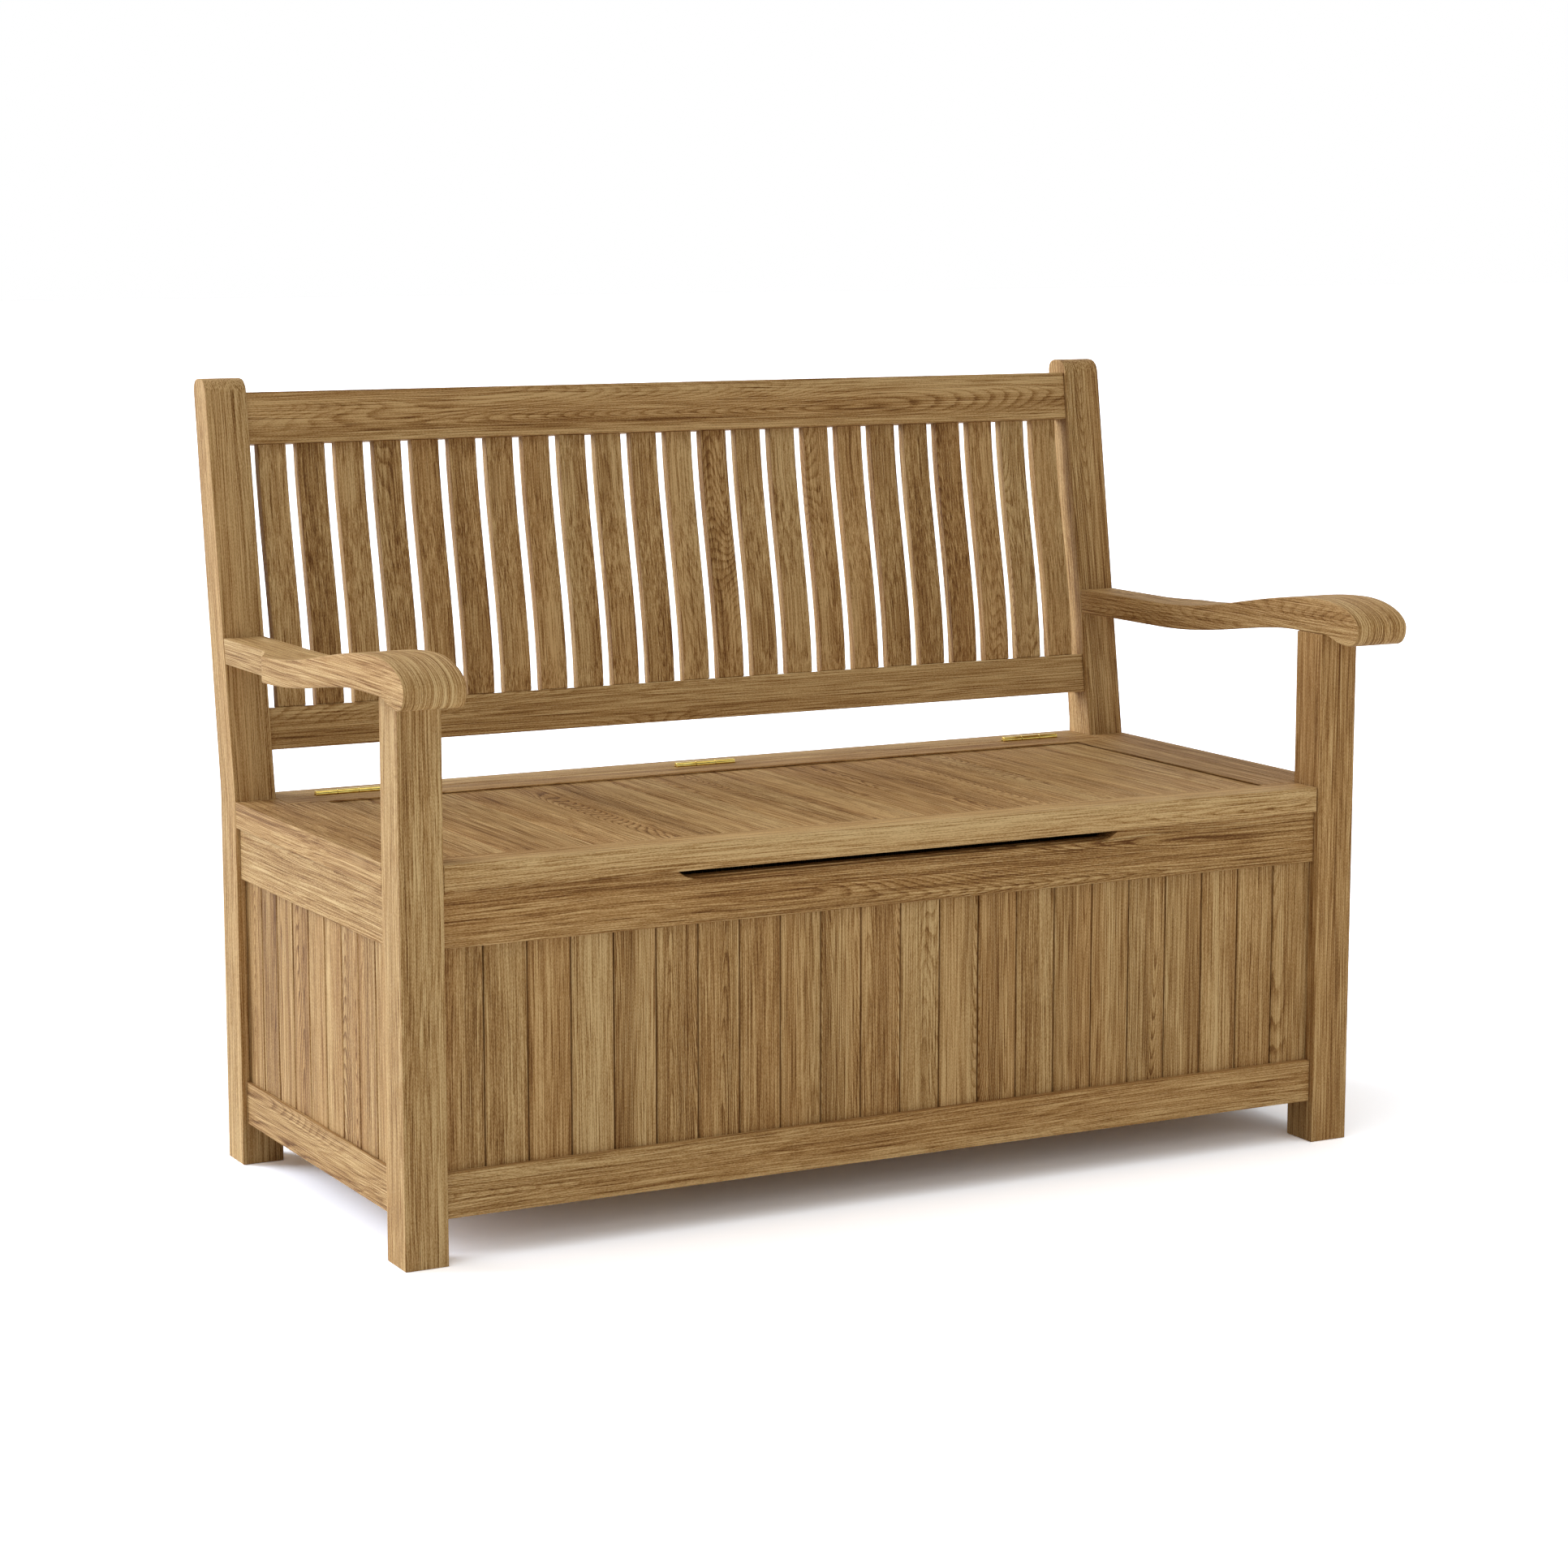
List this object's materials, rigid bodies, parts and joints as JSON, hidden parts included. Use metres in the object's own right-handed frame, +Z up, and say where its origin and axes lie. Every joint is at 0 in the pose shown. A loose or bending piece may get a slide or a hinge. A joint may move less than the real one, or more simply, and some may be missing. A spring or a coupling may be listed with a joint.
{
  "type": "storage bench",
  "caption": "Garden storage bench in solid wood: slatted leaning back, scrolled armrests, boarded box below, and a framed seat that is the box's hinged lid.",
  "frame": {"origin": "on the floor, at the middle of the bounding box's bottom face", "axes": "+X along the bench to its right-hand end as seen from the front, +Y from the front to the back, +Z up"},
  "size_m": [1.26, 0.6812, 0.915],
  "materials": {
    "teak": "oiled satin",
    "teak_panel": "oiled satin",
    "brass": "polished"
  },
  "bodies": {
    "frame": {"front_left_leg": "teak", "front_right_leg": "teak", "rear_left_post": "teak", "rear_right_post": "teak", "left_armrest": "teak", "right_armrest": "teak", "top_back_rail": "teak", "lower_back_rail": "teak", "back_slat_01": "teak", "back_slat_02": "teak", "back_slat_03": "teak", "back_slat_04": "teak", "back_slat_05": "teak", "back_slat_06": "teak", "back_slat_07": "teak", "back_slat_08": "teak", "back_slat_09": "teak", "back_slat_10": "teak", "back_slat_11": "teak", "back_slat_12": "teak", "back_slat_13": "teak", "back_slat_14": "teak", "back_slat_15": "teak", "back_slat_16": "teak", "back_slat_17": "teak", "back_slat_18": "teak", "back_slat_19": "teak", "back_slat_20": "teak", "back_slat_21": "teak", "back_slat_22": "teak", "back_slat_23": "teak", "front_apron": "teak", "front_bottom_rail": "teak", "left_side_apron": "teak", "left_bottom_rail": "teak", "right_side_apron": "teak", "right_bottom_rail": "teak", "rear_apron": "teak", "rear_bottom_rail": "teak", "front_floor_cleat": "teak", "rear_floor_cleat": "teak", "left_seat_strip": "teak", "right_seat_strip": "teak", "rear_seat_strip": "teak", "front_panel": "teak_panel", "left_side_panel": "teak_panel", "right_side_panel": "teak_panel", "rear_panel": "teak_panel", "floor_panel": "teak_panel", "hinge_1_fixed_leaf": "brass", "hinge_2_fixed_leaf": "brass", "hinge_3_fixed_leaf": "brass"},
    "lid": {"lid_front_rail": "teak", "lid_rear_rail": "teak", "lid_left_stile": "teak", "lid_right_stile": "teak", "lid_panel": "teak_panel", "hinge_1_lid_leaf": "brass", "hinge_2_lid_leaf": "brass", "hinge_3_lid_leaf": "brass"}
  },
  "joints": [
    {"name": "lid_hinge", "type": "hinge", "parent": "frame", "child": "lid", "pos_m": [0, 0.23336, 0.4332], "axis": [-1, 0, 0], "range_deg": [0, 97]}
  ]
}
